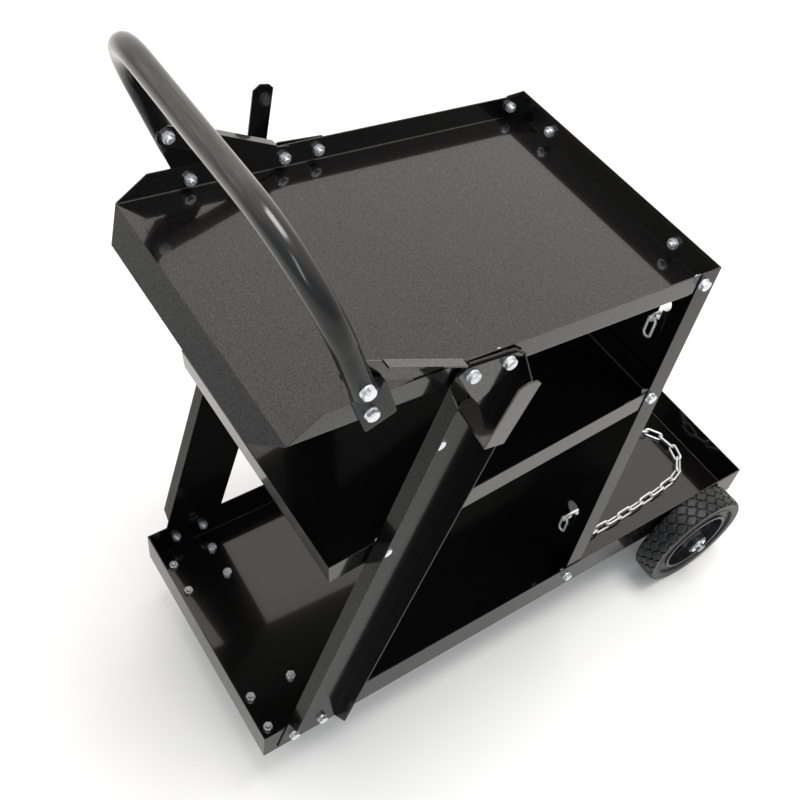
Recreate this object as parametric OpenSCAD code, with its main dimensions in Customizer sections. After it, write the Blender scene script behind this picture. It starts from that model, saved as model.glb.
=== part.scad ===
// Welding cart: two shelves and a cylinder platform on four wheels.
// X runs across the cart, Y from the handle to the cylinder platform, Z up.
// Inside the modules Y is measured from the base tray's front and Z from its underside;
// cart() then moves everything so that the origin is on the floor under the middle.

/* [Sheet metal] */
// Thickness of the trays, the shelf and the rear panel
sheet_t = 1.2; // [0.8:0.1:1.6]
// Thickness of the legs, hooks and struts
strap_t = 1.5; // [1.2:0.1:2]
// Inside radius of the folds in the pans
bend_r = 1.5; // [1:0.5:2.5]

/* [Base tray] */
// Outside width of the base tray
base_w = 300; // [290:1:320]
// Length of the base tray, cylinder platform included
base_l = 760; // [740:1:800]
// Height of the base tray's lips
base_lip = 50; // [44:1:56]
// Height of the base tray's underside above the floor
base_z = 95; // [93:1:98]

/* [Rear panel] */
// Distance from the base tray's front to the panel's front face
panel_y = 460.7; // [455:0.1:465]
// Height of the panel's top edge above the tray's underside
panel_top = 566; // [560:1:572]
// Depth of the panel's side flanges
panel_flange = 23; // [18:1:26]
// Distance of the chain keyholes from the middle
key_x = 109; // [100:1:118]
// Height of the lower keyholes' round part
key_low_z = 119; // [110:1:130]
// Height of the upper keyholes' round part
key_high_z = 486; // [470:1:495]

/* [Middle shelf] */
// Front edge of the shelf, behind the base tray's front
shelf_front_y = 63.2; // [55:0.1:75]
// Height of the shelf's underside at the panel
shelf_rear_z = 372; // [365:1:380]
// How far the shelf falls towards the front, in degrees
shelf_tilt = 5.1; // [3:0.1:6]
// Height of the shelf's lips
shelf_lip = 30; // [28:1:32]

/* [Top tray] */
// Front edge of the top tray's floor, behind the base tray's front
top_front_y = 9.9; // [5:0.1:15]
// Height of the top tray's floor at the front edge
top_front_z = 579.2; // [575:0.1:582]
// How far the top tray rises towards the front, in degrees
top_tilt = 5.05; // [4.8:0.05:5.2]
// Height of the top tray's side lips
top_lip = 24; // [22:1:26]
// Length of the sloping front apron
apron_l = 25; // [20:1:30]

/* [Legs] */
// Width of a leg across its web
leg_w = 73; // [70:1:76]
// How far the legs lean back, in degrees
leg_lean = 13.8; // [13.5:0.1:14.1]
// Width of the leg's front flange
leg_front_flange = 16; // [14:1:18]
// Width of the leg's rear flange
leg_rear_flange = 18.6; // [16:0.1:20]
// Spacing of a pair of leg bolts
leg_bolt_gap = 37; // [34:1:38]

/* [Handle] */
// Outside diameter of the handle tube
tube_d = 20; // [18:1:21]
// Wall of the handle tube
tube_wall = 1.5; // [1.2:0.1:2]
// How far the handle leans forward, in degrees
handle_lean = 20; // [18:1:22]
// From the foot bolt to the middle of the grip, along the tube
handle_l = 183; // [175:1:195]
// Radius of the bends at the tube's centre line
handle_bend = 80; // [70:1:84]
// From the foot bolt to the strut bolt, along the tube
strut_bolt_gap = 55; // [52:1:58]

/* [Cable hooks] */
// Reach of the hook from the leg to the finger
hook_reach = 46; // [38:1:50]
// Height of the upright finger
hook_finger = 79; // [60:1:84]

/* [Rear wheels] */
// Diameter of the rear wheels
wheel_d = 160; // [154:1:164]
// Width of the tyre
wheel_w = 35.5; // [32:0.5:37]
// Diameter of the axle rod
axle_d = 12.7; // [12:0.1:13]
// Distance from the base tray's front to the axle
axle_y = 665; // [655:1:675]

/* [Casters] */
// Diameter of the caster wheels
caster_d = 75; // [70:1:76]
// Distance of the casters from the middle
caster_x = 102; // [98:1:104]
// Distance of the casters from the base tray's front
caster_y = 47; // [46:1:52]
// How far the caster wheel trails behind its pivot
caster_trail = 25; // [20:1:28]

/* [Chains] */
// Wire diameter of the chain links
link_d = 3; // [2.8:0.1:3]
// Outside length of a chain link
link_l = 29; // [28.8:0.1:29.2]
// Outside width of a chain link
link_w = 12; // [11.9:0.1:12.4]

/* [Hidden] */
eps = 0.01;
// How far cuts run past the faces that they open
overrun = 2;
cut = 5;
round_fn = 48;
coarse_fn = 16;
link_fn = 32;
// Half widths of the nested sheets, from the base tray's lips inwards
base_in = base_w / 2 - sheet_t;
flange_in = base_in - sheet_t;
lip_in = flange_in - sheet_t;
strut_in = lip_in - strap_t;
leg_x = base_w / 2;
leg_out = leg_x + strap_t;
hook_out = leg_out + strap_t;
bend_out = bend_r + sheet_t;
fold_steps = 4;
corner_soft = 2;
pan_cut = 14;

// Slopes and lengths of the tilted floors
top_slope = tan(top_tilt);
top_l = (panel_y - top_front_y) / cos(top_tilt);
shelf_slope = tan(shelf_tilt);
shelf_l = (panel_y - shelf_front_y) / cos(shelf_tilt);
shelf_front_z = shelf_rear_z - (panel_y - shelf_front_y) * shelf_slope;
top_ramp = 28;
ramp_low = 0.4;
apron_drop = 45;
top_rear_lip = 26;
apron_cut = 28;

// Lines of the leg's front and rear folds, and of its bolts
leg_slope = tan(leg_lean);
leg_foot_y = 14.5;
leg_bottom = 10;
leg_top = 571;
leg_span = leg_w / cos(leg_lean);
leg_cut = 14;
leg_flange_low = 60;
leg_flange_high = 567;
leg_bolt_in = 16.2;
leg_peak = 10;
spare_bolt_z = 500;
base_bolt_z = 25;
shelf_bolt_up = 16;
shelf_bolt_near = 120;
top_bolt_up = top_lip / 2;
top_bolt_near = 172;
function front_y(z) = leg_foot_y + z * leg_slope;
function rear_y(z) = front_y(z) + leg_span;
function shelf_z(y) = shelf_front_z + (y - shelf_front_y) * shelf_slope;
function top_z(y) = top_front_z - (y - top_front_y) * top_slope;
leg_base_y = front_y(base_bolt_z) + leg_bolt_in;
leg_mid_y = front_y(shelf_z(shelf_bolt_near) + shelf_bolt_up) + leg_bolt_in;
leg_top_y = front_y(top_z(top_bolt_near) + top_bolt_up) + leg_bolt_in;
leg_mid_z = shelf_z(leg_mid_y) + shelf_bolt_up;
leg_top_z = top_z(leg_top_y) + top_bolt_up;
leg_top_z2 = top_z(leg_top_y + leg_bolt_gap) + top_bolt_up;

// Handle: foot bolt, strut bolt and the plane of the bent tube
tube_r = tube_d / 2;
foot_gap = 0.5;
foot_t = 2 * tube_wall + foot_gap;
foot_soft = 4;
tube_stand = 0.1;
ring_t = 1;
foot_w = 30;
foot_up = 24;
foot_down = 22;
crimp_l = 16;
foot_y = 78.5;
foot_z = 583;
foot_out = flange_in + foot_t;
tube_x = lip_in + tube_r + tube_stand;
strut_y = foot_y - strut_bolt_gap * sin(handle_lean);
strut_z = foot_z + strut_bolt_gap * cos(handle_lean);
strut_r = 9.5;
strut_tail_r = 9;
strut_flange = 7.5;
strut_ridge = 8;
strut_rise = 1;
strut_tail_out = 6;
strut_tail_up = 3;
strut_flange_stop = 26;
strut_steps = 16;

// Cable hook, about its upper front bolt
arm_w = 21.2;
arm_skew = 6;
finger_out = 5;
finger_shift = 6;
finger_front = 6.5;
finger_rear = [5, 3.3];
hook_low = [-6.7, -38.7];
hook_crown = [[-14.5, 4.5], [-7.5, 9.5], [-1, 10], [45, 3], [52, -3], [50, -12]];
hook_notch = [[2, 6], [12, 8]];

// Metric 6 fasteners
bolt_r = 3;
hole_r = 3.3;
head_w = 10;
head_h = 4;
nut_h = 5;
thread_gap = 0.05;
nut_r = bolt_r + thread_gap;
hex_r = head_w / 2 / cos(30);
washer_r = 6;
washer_t = 1.6;
bolt_tip = 2.5;

// Rear axle and wheels
axle_r = axle_d / 2;
axle_z = wheel_d / 2 - base_z;
wheel_r = wheel_d / 2;
wheel_gap = 3;
wheel_x = leg_x + wheel_gap;
rim_r = 52;
rim_t = 4;
rim_in = 1;
web_x = 12;
web_t = 10;
boss_r = 15;
dome_r = 20;
dome_x = 20;
dome_h = 12;
tyre_shoulder = 6;
tyre_bead = 8;
bracket_t = 3;
bracket_x = 143.6;
bracket_l = 50;
bracket_w = 36;
bracket_ear = 8;
axle_washer_r = 12;
axle_washer_t = 2;
run = 0.06;
play = 0.3;
hub_in = bracket_x + bracket_t + axle_washer_t + play;
hub_l = 43;
hub_out = hub_in + hub_l;
pin_r = 1.5;
pin_l = 34;
pin_x = hub_out + play + axle_washer_t + pin_r;
pin_turn = 38;
pin_tail = 6;
pin_eye_r = 3.2;
pin_wire = 0.9;
pin_gap = 0.1;
axle_past = 4;
axle_end = pin_x + axle_past;
spokes = 4;
pocket_r = 17;
pocket_at = 29;
pocket_turn = 31;

// Casters
plate_w = 62;
plate_l = 76;
plate_t = 2.5;
plate_hole_x = 42;
plate_hole_y = 54;
race_r = 24;
race_taper = 4;
race_h = 5;
fork_t = 2.5;
fork_gap = 14.6;
fork_head = 20;
fork_foot = 10;
fork_lap = 6;
fork_steps = 10;
fork_z = -(plate_t + race_h + play);
king_r = 5;
king_head_r = 8.5;
king_head_h = 3;
caster_w = 24;
caster_core_r = 26;
caster_web = 8;
caster_rim_t = 3;
caster_boss_r = 10;
caster_boss = 2 * (fork_gap - play - run);
caster_edge = 5;
caster_axle_r = 4;
caster_nut_r = 7.5;
caster_nut_h = 4;
caster_axle_z = caster_d / 2 - base_z;

// Chains: pitch and the links' own arc radius
link_arc = (link_w - link_d) / 2;
link_half = link_l / 2 - link_w / 2;
link_slack = 0.7;
pitch = link_l - 2 * link_d - link_slack;
seat = 1.2;
lying_gap = 0.1;
key_r = 10;
key_slot = 5;
key_drop = 22;
through_gap = 1.1;
through_y = panel_y + sheet_t + through_gap;
hang_down = key_drop + key_slot / 2 - link_w / 2 - play;

// Outermost front and rear faces, which place the origin
cart_front = top_front_y - apron_l * cos(apron_drop);
cart_rear = base_l;
origin_y = (cart_front + cart_rear) / 2;

// Small helpers
module cart() { translate([0, -origin_y, base_z]) children(); }
module sided(s) { mirror([s < 0 ? 1 : 0, 0, 0]) children(); }
module both() { for (s = [-1, 1]) sided(s) children(); }
// A flat outline of (y, z) points, thickened along +X from x
module yz(x, t) { translate([x, 0, 0]) rotate([90, 0, 90]) linear_extrude(t) children(); }
// A flat outline of (x, z) points, thickened along +Y from y
module xz(y, t) { translate([0, y + t, 0]) rotate([90, 0, 0]) linear_extrude(t) children(); }
// A drill or rod along X, centred on (y, z)
module along_x(r, x, y, z, l) {
    translate([x, y, z]) rotate([0, 90, 0]) cylinder(r = r, h = l, $fn = round_fn);
}
module along_y(r, x, y, z, l) {
    translate([x, y, z]) rotate([-90, 0, 0]) cylinder(r = r, h = l, $fn = round_fn);
}
function arc(c, r, a0, a1, n) = [
    for (i = [0:n]) let (a = a0 + (a1 - a0) * i / n) [c[0] + r * cos(a), c[1] + r * sin(a)]
];

// A pan's cross-section, flat on its base with rounded lower corners
function pan_side(x0, x1, h, r) = concat(
    arc([x0 + r, r], r, 180, 270, fold_steps), arc([x1 - r, r], r, 270, 360, fold_steps),
    [[x1, h], [x0, h]]);
module pan_block(x, l0, l1, h0, h1, r) {
    intersection() {
        xz(l0 - eps, l1 - l0 + 2 * eps) translate([0, h0]) polygon(pan_side(-x, x, h1 - h0, r));
        yz(-x - eps, 2 * x + 2 * eps) translate([0, h0]) polygon(pan_side(l0, l1, h1 - h0, r));
    }
}
module pan(x, l, h) {
    difference() {
        pan_block(x, 0, l, 0, h, bend_out);
        pan_block(x - sheet_t, sheet_t, l - sheet_t, sheet_t, h + bend_out, bend_r);
    }
}

// Places of the bolts that go through the sides: [y, z, outer face, inner face]
leg_seats = [
    [leg_base_y, base_bolt_z, leg_out, base_in],
    [leg_base_y + leg_bolt_gap, base_bolt_z, leg_out, base_in],
    [leg_mid_y, leg_mid_z, leg_out, lip_in],
    [leg_top_y, leg_top_z, hook_out, strut_in],
    [leg_top_y + leg_bolt_gap, leg_top_z2, hook_out, lip_in],
    [front_y(spare_bolt_z) + leg_bolt_in, spare_bolt_z, leg_out, leg_x],
];
panel_bolt_in = 6;
panel_low_z = 28;
panel_mid_up = 19;
panel_high_down = 12.5;
panel_bolt_y = panel_y - panel_flange + panel_bolt_in;
panel_seats = [
    [panel_bolt_y, panel_low_z, leg_x, flange_in],
    [panel_bolt_y, shelf_rear_z + panel_mid_up, base_in, lip_in],
    [panel_bolt_y, panel_top - panel_high_down, base_in, lip_in],
];
handle_seats = [
    [foot_y, foot_z, foot_out, lip_in],
    [strut_y, strut_z, tube_x + tube_r, strut_in],
];
rear_bolt_x = 94.5;
rear_bolt_z = 552;
module drill(seats) {
    reach = leg_x + hook_reach;
    for (p = seats) along_x(hole_r, -reach, p[0], p[1], 2 * reach);
}
// The four holes of a caster's plate, about its pivot
module plate_holes() {
    for (i = [-1, 1], j = [-1, 1]) translate([i * plate_hole_x / 2, j * plate_hole_y / 2, 0]) children();
}
module at_caster_holes() {
    cart() for (s = [-1, 1]) translate([s * caster_x, caster_y, 0]) plate_holes() children();
}
module upright_drill(r) { translate([0, 0, -base_z]) cylinder(r = r, h = 2 * base_z, $fn = round_fn); }

// Sheet metal
module bottom_tray() {
    color("#15161a") cart() difference() {
        pan(base_w / 2, base_l, base_lip);
        drill([leg_seats[0], leg_seats[1], panel_seats[0]]);
        for (s = [-1, 1]) translate([s * caster_x, caster_y, 0]) plate_holes() upright_drill(hole_r);
    }
}

module keyhole(x, z) {
    along_y(key_r, x, panel_y - cut, z, 2 * cut);
    along_y(key_slot / 2, x, panel_y - cut, z - key_drop, 2 * cut);
    translate([x - key_slot / 2, panel_y - cut, z - key_drop]) cube([key_slot, 2 * cut, key_drop]);
}
module rear_panel() {
    fold_clear = bend_r + play;
    color("#15161a") cart() difference() {
        union() {
            translate([-base_in, panel_y, sheet_t]) cube([2 * base_in, sheet_t, panel_top - sheet_t]);
            for (x = [-base_in, flange_in]) yz(x, sheet_t) polygon([
                [panel_y + sheet_t, sheet_t], [panel_y + sheet_t, panel_top],
                [panel_y - panel_flange + corner_soft, panel_top],
                [panel_y - panel_flange, panel_top - corner_soft],
                [panel_y - panel_flange, sheet_t + pan_cut], [panel_y - panel_flange + pan_cut, sheet_t],
            ]);
        }
        // Its lower edge clears the base tray's folds
        both() translate([base_in - fold_clear, panel_y - panel_flange - cut, 0])
            cube([base_w, panel_flange + 2 * cut, sheet_t + fold_clear]);
        drill(panel_seats);
        for (x = [-key_x, key_x], z = [key_low_z, key_high_z]) keyhole(x, z);
        for (x = [-rear_bolt_x, rear_bolt_x]) along_y(hole_r, x, panel_y - cut, rear_bolt_z, 2 * cut);
    }
}

module middle_shelf() {
    color("#15161a") cart() difference() {
        translate([0, shelf_front_y, shelf_front_z]) rotate([shelf_tilt, 0, 0])
            pan(flange_in, shelf_l, shelf_lip);
        drill([leg_seats[2], panel_seats[1]]);
    }
}

module top_tray() {
    color("#15161a") cart() difference() {
        union() {
            translate([0, top_front_y, top_front_z]) rotate([-top_tilt, 0, 0]) difference() {
                translate([0, 0, -sheet_t]) difference() {
                    xz(0, top_l + overrun)
                        polygon(pan_side(-flange_in, flange_in, top_lip + sheet_t, bend_out));
                    translate([0, 0, sheet_t]) xz(-overrun, top_l + 3 * overrun)
                        polygon(pan_side(-lip_in, lip_in, top_lip + bend_out, bend_r));
                }
                yz(-leg_x, 2 * leg_x) polygon([[-overrun, ramp_low], [0, ramp_low], [top_ramp, top_lip],
                    [top_ramp, 2 * top_lip], [-overrun, 2 * top_lip]]);
            }
            translate([-lip_in, panel_y - sheet_t, top_z(panel_y) - sheet_t])
                cube([2 * lip_in, sheet_t, top_rear_lip]);
            translate([0, top_front_y, top_front_z]) rotate([180 + apron_drop, 0, 0]) linear_extrude(sheet_t)
                polygon([[-flange_in, 0], [flange_in, 0], [flange_in - apron_cut, apron_l],
                    [apron_cut - flange_in, apron_l]]);
        }
        // The whole tray stops plumb at the panel's front face
        translate([-leg_x, panel_y, top_z(panel_y) - top_lip]) cube([2 * leg_x, top_lip, 3 * top_lip]);
        drill([leg_seats[3], leg_seats[4], panel_seats[2], handle_seats[0]]);
        for (x = [-rear_bolt_x, rear_bolt_x]) along_y(hole_r, x, panel_y - cut, rear_bolt_z, 2 * cut);
    }
}

// A channel with both flanges outwards
module leg(s) {
    flange_l = (leg_top - leg_bottom) / cos(leg_lean);
    front_l = (leg_flange_high - leg_flange_low) / cos(leg_lean);
    color("#1b1c20") cart() sided(s) difference() {
        union() {
            yz(leg_x, strap_t) polygon([
                [front_y(leg_bottom), leg_bottom], [rear_y(leg_bottom), leg_bottom],
                [rear_y(leg_top), leg_top], [rear_y(leg_top) - leg_cut, top_z(rear_y(leg_top)) + top_lip],
                [front_y(leg_top) + leg_cut, top_z(front_y(leg_top)) + top_lip],
                [front_y(leg_top + leg_peak), leg_top + leg_peak],
            ]);
            translate([leg_x, front_y(leg_flange_low), leg_flange_low]) rotate([-leg_lean, 0, 0])
                xz(0, strap_t) polygon([[0, 0], [leg_front_flange, leg_cut / 2],
                    [leg_front_flange, front_l - leg_cut / 2], [0, front_l]]);
            translate([leg_x, rear_y(leg_bottom), leg_bottom]) rotate([-leg_lean, 0, 0])
                xz(-strap_t, strap_t) polygon([[0, 0], [leg_rear_flange, leg_cut],
                    [leg_rear_flange, flange_l - leg_cut], [0, flange_l]]);
        }
        drill(leg_seats);
    }
}
module leg_left() { leg(-1); }
module leg_right() { leg(1); }

// Handle: a bent tube whose ends are pressed flat against the top tray's lips
module tube_path(r) {
    straight = handle_l - handle_bend;
    both() {
        translate([tube_x, 0, foot_up + crimp_l - ring_t])
            cylinder(r = r, h = straight - foot_up - crimp_l + ring_t, $fn = round_fn);
        translate([tube_x - handle_bend, 0, straight]) rotate([90, 0, 0])
            rotate_extrude(angle = 90, $fn = 2 * round_fn)
                translate([handle_bend, 0]) circle(r, $fn = round_fn);
    }
    bar = tube_x - handle_bend;
    translate([-bar, 0, handle_l]) rotate([0, 90, 0]) cylinder(r = r, h = 2 * bar, $fn = round_fn);
}
module handle_tube() {
    foot_edge = foot_w - tube_r;
    color("#17181b") cart() difference() {
        translate([0, foot_y, foot_z]) rotate([handle_lean, 0, 0]) union() {
            difference() {
                tube_path(tube_r);
                tube_path(tube_r - tube_wall);
            }
            both() {
                hull() {
                    translate([tube_x, 0, foot_up + crimp_l - ring_t])
                        cylinder(r = tube_r, h = ring_t, $fn = link_fn);
                    translate([flange_in, -tube_r, foot_up - ring_t]) cube([foot_t, foot_w, ring_t]);
                }
                yz(flange_in, foot_t) polygon([[-tube_r, -foot_down], [foot_edge - foot_soft, -foot_down],
                    [foot_edge, foot_soft - foot_down], [foot_edge, foot_up], [-tube_r, foot_up]]);
            }
        }
        drill(handle_seats);
    }
}

// Strut: an angle from the front leg bolt up to the handle
module strut(s) {
    tail = [leg_top_y, leg_top_z];
    tip = [strut_y, strut_z];
    ridge = [leg_top_y - strut_ridge, top_z(leg_top_y - strut_ridge) + top_lip + strut_rise];
    slope = atan2(tip[1] - ridge[1] + strut_r, ridge[0] - tip[0]);
    flange_run = norm(tip - ridge) - strut_flange_stop;
    color("#1b1c20") cart() sided(s) difference() {
        union() {
            yz(strut_in, strap_t) polygon(concat([ridge],
                arc(tip, strut_r, 90 - slope, 270 - slope, strut_steps),
                arc(tail, strut_tail_r, 270 - slope, 380, strut_steps),
                [[tail[0] + strut_tail_out, ridge[1] - strut_tail_up]]));
            translate([strut_in, ridge[0], ridge[1]]) rotate([-slope, 0, 0])
                translate([0, -flange_run, 0]) cube([strap_t + strut_flange, flange_run, strap_t]);
        }
        drill([leg_seats[3], handle_seats[1]]);
    }
}
module strut_left() { strut(-1); }
module strut_right() { strut(1); }

// Cable hook: a plate on the leg's top bolts, an arm outwards and an upright finger
module cable_hook(s) {
    top = [leg_top_y, leg_top_z];
    low = top + hook_low;
    low_end = low + arm_w * [cos(leg_lean), -sin(leg_lean)];
    color("#1b1c20") cart() sided(s) difference() {
        union() {
            yz(leg_out, strap_t) polygon(concat([for (p = hook_crown) top + p], [low_end, low],
                [for (p = hook_notch) low + p]));
            translate([leg_out, low[0], low[1]]) rotate([-leg_lean, 0, 0]) {
                linear_extrude(strap_t) polygon([[0, 0], [0, arm_w],
                    [hook_reach, arm_w - arm_skew], [hook_reach, -arm_skew]]);
                translate([hook_reach, -arm_skew, 0]) rotate([0, finger_out, 0])
                    yz(-strap_t, strap_t) polygon([[0, 0], [arm_w, 0],
                        [arm_w - finger_shift, hook_finger - finger_rear[1]],
                        [arm_w - finger_shift - finger_rear[0], hook_finger],
                        [finger_front - finger_shift, hook_finger],
                        [-finger_shift, hook_finger - finger_front]]);
            }
        }
        drill([leg_seats[3], leg_seats[4]]);
    }
}
module cable_hook_left() { cable_hook(-1); }
module cable_hook_right() { cable_hook(1); }

// Fasteners: each stands on its seat at z = 0 and points up
module hex_bolt(grip) {
    translate([0, 0, -washer_t - head_h]) cylinder(r = hex_r, h = head_h, $fn = 6);
    translate([0, 0, -washer_t]) cylinder(r = washer_r, h = washer_t, $fn = round_fn);
    translate([0, 0, -washer_t])
        cylinder(r = bolt_r, h = washer_t + grip + nut_h + bolt_tip, $fn = round_fn);
}
module hex_nut() {
    difference() {
        cylinder(r = hex_r, h = nut_h, $fn = 6);
        translate([0, 0, -overrun]) cylinder(r = nut_r, h = nut_h + 2 * overrun, $fn = round_fn);
    }
}
module side_bolts(seats) {
    color("#b8bcc0") cart() both() for (p = seats)
        translate([p[2], p[0], p[1]]) rotate([0, -90, 0]) hex_bolt(p[2] - p[3]);
}
module side_nuts(seats) {
    color("#a9adb2") cart() both() for (p = seats)
        translate([p[3], p[0], p[1]]) rotate([0, -90, 0]) hex_nut();
}
module leg_bolts() { side_bolts(leg_seats); }
module leg_nuts() { side_nuts(leg_seats); }
module leg_spacers() {
    color("#a9adb2") cart() both() for (i = [2:4])
        translate([flange_in, leg_seats[i][0], leg_seats[i][1]]) rotate([0, 90, 0]) difference() {
            cylinder(r = washer_r, h = leg_x - flange_in, $fn = round_fn);
            translate([0, 0, -overrun])
                cylinder(r = hole_r, h = leg_x - flange_in + 2 * overrun, $fn = round_fn);
        }
}
module panel_bolts() {
    side_bolts(panel_seats);
    color("#b8bcc0") cart() for (x = [-rear_bolt_x, rear_bolt_x])
        translate([x, panel_y + sheet_t, rear_bolt_z]) rotate([90, 0, 0]) hex_bolt(2 * sheet_t);
}
module panel_nuts() {
    side_nuts(panel_seats);
    color("#a9adb2") cart() for (x = [-rear_bolt_x, rear_bolt_x])
        translate([x, panel_y - sheet_t, rear_bolt_z]) rotate([90, 0, 0]) hex_nut();
}
module handle_bolts() { side_bolts(handle_seats); }
module handle_nuts() { side_nuts(handle_seats); }

// Rear axle
module axle_rod() {
    color("#8d9196") cart() difference() {
        along_x(axle_r, -axle_end, axle_y, axle_z, 2 * axle_end);
        for (s = [-1, 1]) translate([s * pin_x, axle_y, axle_z]) rotate([pin_turn, 0, 0])
            cylinder(r = pin_r + pin_gap, h = 3 * axle_r, center = true, $fn = round_fn);
    }
}
module axle_bracket(s) {
    ear = axle_r + bracket_ear;
    color("#15161a") cart() sided(s) difference() {
        union() {
            translate([bracket_x + bracket_t - bracket_w, axle_y - bracket_l / 2, -bracket_t])
                cube([bracket_w, bracket_l, bracket_t]);
            yz(bracket_x, bracket_t) polygon(concat(
                [[axle_y + bracket_l / 2, 0], [axle_y - bracket_l / 2, 0]],
                arc([axle_y, axle_z], ear, 200, 340, strut_steps)));
        }
        along_x(axle_r + run, 0, axle_y, axle_z, leg_x);
    }
}
module axle_bracket_left() { axle_bracket(-1); }
module axle_bracket_right() { axle_bracket(1); }
module axle_washers() {
    color("#b8bcc0") cart() both() for (x = [bracket_x + bracket_t, pin_x - pin_r - axle_washer_t])
        difference() {
            along_x(axle_washer_r, x, axle_y, axle_z, axle_washer_t);
            along_x(axle_r + run, x - overrun, axle_y, axle_z, axle_washer_t + 2 * overrun);
        }
}
module split_pins() {
    color("#b8bcc0") cart() both() translate([pin_x, axle_y, axle_z]) rotate([pin_turn, 0, 0]) {
        translate([0, 0, -pin_l / 2]) cylinder(r = pin_r, h = pin_l - pin_tail, $fn = round_fn);
        translate([0, 0, pin_l / 2 - pin_tail + pin_eye_r]) rotate([0, 90, 0])
            rotate_extrude($fn = round_fn) translate([pin_eye_r, 0]) circle(pin_wire, $fn = coarse_fn);
    }
}

// Rear wheels
module wheel_hub(s) {
    color("#101113") cart() sided(s) difference() {
        translate([0, axle_y, axle_z]) rotate([0, 90, 0]) {
            difference() {
                translate([0, 0, wheel_x + rim_in])
                    cylinder(r = rim_r, h = wheel_w - 2 * rim_in, $fn = 2 * round_fn);
                translate([0, 0, wheel_x]) cylinder(r = rim_r - rim_t, h = wheel_w, $fn = 2 * round_fn);
            }
            difference() {
                translate([0, 0, wheel_x + web_x])
                    cylinder(r = rim_r - rim_t / 2, h = web_t, $fn = 2 * round_fn);
                for (i = [0:spokes - 1]) rotate([0, 0, i * 360 / spokes - pocket_turn])
                    translate([pocket_at, 0, wheel_x]) cylinder(r = pocket_r, h = wheel_w, $fn = round_fn);
            }
            translate([0, 0, hub_in]) cylinder(r = boss_r, h = hub_l, $fn = round_fn);
            translate([0, 0, wheel_x + dome_x])
                cylinder(r1 = dome_r, r2 = boss_r, h = dome_h, $fn = round_fn);
        }
        along_x(axle_r + run, hub_in - overrun, axle_y, axle_z, hub_l + 2 * overrun);
    }
}
module wheel_hub_left() { wheel_hub(-1); }
module wheel_hub_right() { wheel_hub(1); }
module wheel_tyre(s) {
    half = wheel_w / 2;
    color("#0c0c0d") cart() sided(s) translate([wheel_x + half, axle_y, axle_z]) rotate([0, 90, 0])
        rotate_extrude($fn = 2 * round_fn) polygon(concat(
            [[rim_r, rim_in - half], [rim_r + tyre_bead, -half]],
            arc([wheel_r - tyre_shoulder, tyre_shoulder - half], tyre_shoulder, -90, 0, fold_steps),
            arc([wheel_r - tyre_shoulder, half - tyre_shoulder], tyre_shoulder, 0, 90, fold_steps),
            [[rim_r + tyre_bead, half], [rim_r, half - rim_in]]));
}
module wheel_tyre_left() { wheel_tyre(-1); }
module wheel_tyre_right() { wheel_tyre(1); }

// Casters, each about its own pivot
module at_caster(s) { cart() translate([s * caster_x, caster_y, 0]) children(); }
module caster_plate(s) {
    color("#b8bcc0") at_caster(s) difference() {
        union() {
            translate([-plate_w / 2, -plate_l / 2, -plate_t]) cube([plate_w, plate_l, plate_t]);
            translate([0, 0, -plate_t - race_h])
                cylinder(r1 = race_r - race_taper, r2 = race_r, h = race_h, $fn = round_fn);
        }
        plate_holes() upright_drill(hole_r);
        upright_drill(king_r);
    }
}
module caster_plate_left() { caster_plate(-1); }
module caster_plate_right() { caster_plate(1); }
module caster_kingpin(s) {
    low = fork_z - fork_t - play;
    color("#a9adb2") at_caster(s) {
        translate([0, 0, low - king_head_h]) cylinder(r = king_head_r, h = king_head_h, $fn = round_fn);
        translate([0, 0, low - king_head_h / 2])
            cylinder(r = king_r, h = king_head_h / 2 - low, $fn = round_fn);
    }
}
module caster_kingpin_left() { caster_kingpin(-1); }
module caster_kingpin_right() { caster_kingpin(1); }
module caster_fork(s) {
    half = fork_gap + fork_t;
    color("#c2c6ca") at_caster(s) difference() {
        union() {
            translate([0, 0, fork_z - fork_t]) cylinder(r = race_r - strap_t, h = fork_t, $fn = round_fn);
            translate([-half, -fork_head, fork_z - fork_t]) cube([2 * half, 2 * fork_head, fork_t]);
            for (x = [-half, fork_gap]) yz(x, fork_t) polygon(concat(
                [[fork_head, fork_z], [-fork_head, fork_z], [-fork_head, fork_z - fork_lap]],
                arc([caster_trail, caster_axle_z], fork_foot, 210, 380, fork_steps)));
        }
        upright_drill(king_r + run);
        along_x(caster_axle_r, -2 * fork_gap, caster_trail, caster_axle_z, 4 * fork_gap);
    }
}
module caster_fork_left() { caster_fork(-1); }
module caster_fork_right() { caster_fork(1); }
module at_caster_wheel(s) {
    at_caster(s) translate([0, caster_trail, caster_axle_z]) rotate([0, 90, 0]) children();
}
module caster_core(s) {
    color("#3a3c40") at_caster_wheel(s) difference() {
        union() {
            cylinder(r = caster_core_r, h = caster_web, center = true, $fn = round_fn);
            cylinder(r = caster_boss_r, h = caster_boss, center = true, $fn = round_fn);
            difference() {
                cylinder(r = caster_core_r, h = caster_w - 2 * rim_in, center = true, $fn = round_fn);
                cylinder(r = caster_core_r - caster_rim_t, h = caster_w, center = true, $fn = round_fn);
            }
        }
        cylinder(r = caster_axle_r + run, h = 2 * caster_boss, center = true, $fn = round_fn);
    }
}
module caster_core_left() { caster_core(-1); }
module caster_core_right() { caster_core(1); }
module caster_tyre(s) {
    r = caster_d / 2;
    half = caster_w / 2;
    color("#1a1a1b") at_caster_wheel(s) rotate_extrude($fn = 2 * round_fn) polygon(concat(
        [[caster_core_r, rim_in - half], [caster_core_r + caster_rim_t, -half]],
        arc([r - caster_edge, caster_edge - half], caster_edge, -90, 0, fold_steps),
        arc([r - caster_edge, half - caster_edge], caster_edge, 0, 90, fold_steps),
        [[caster_core_r + caster_rim_t, half], [caster_core_r, half - rim_in]]));
}
module caster_tyre_left() { caster_tyre(-1); }
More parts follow.
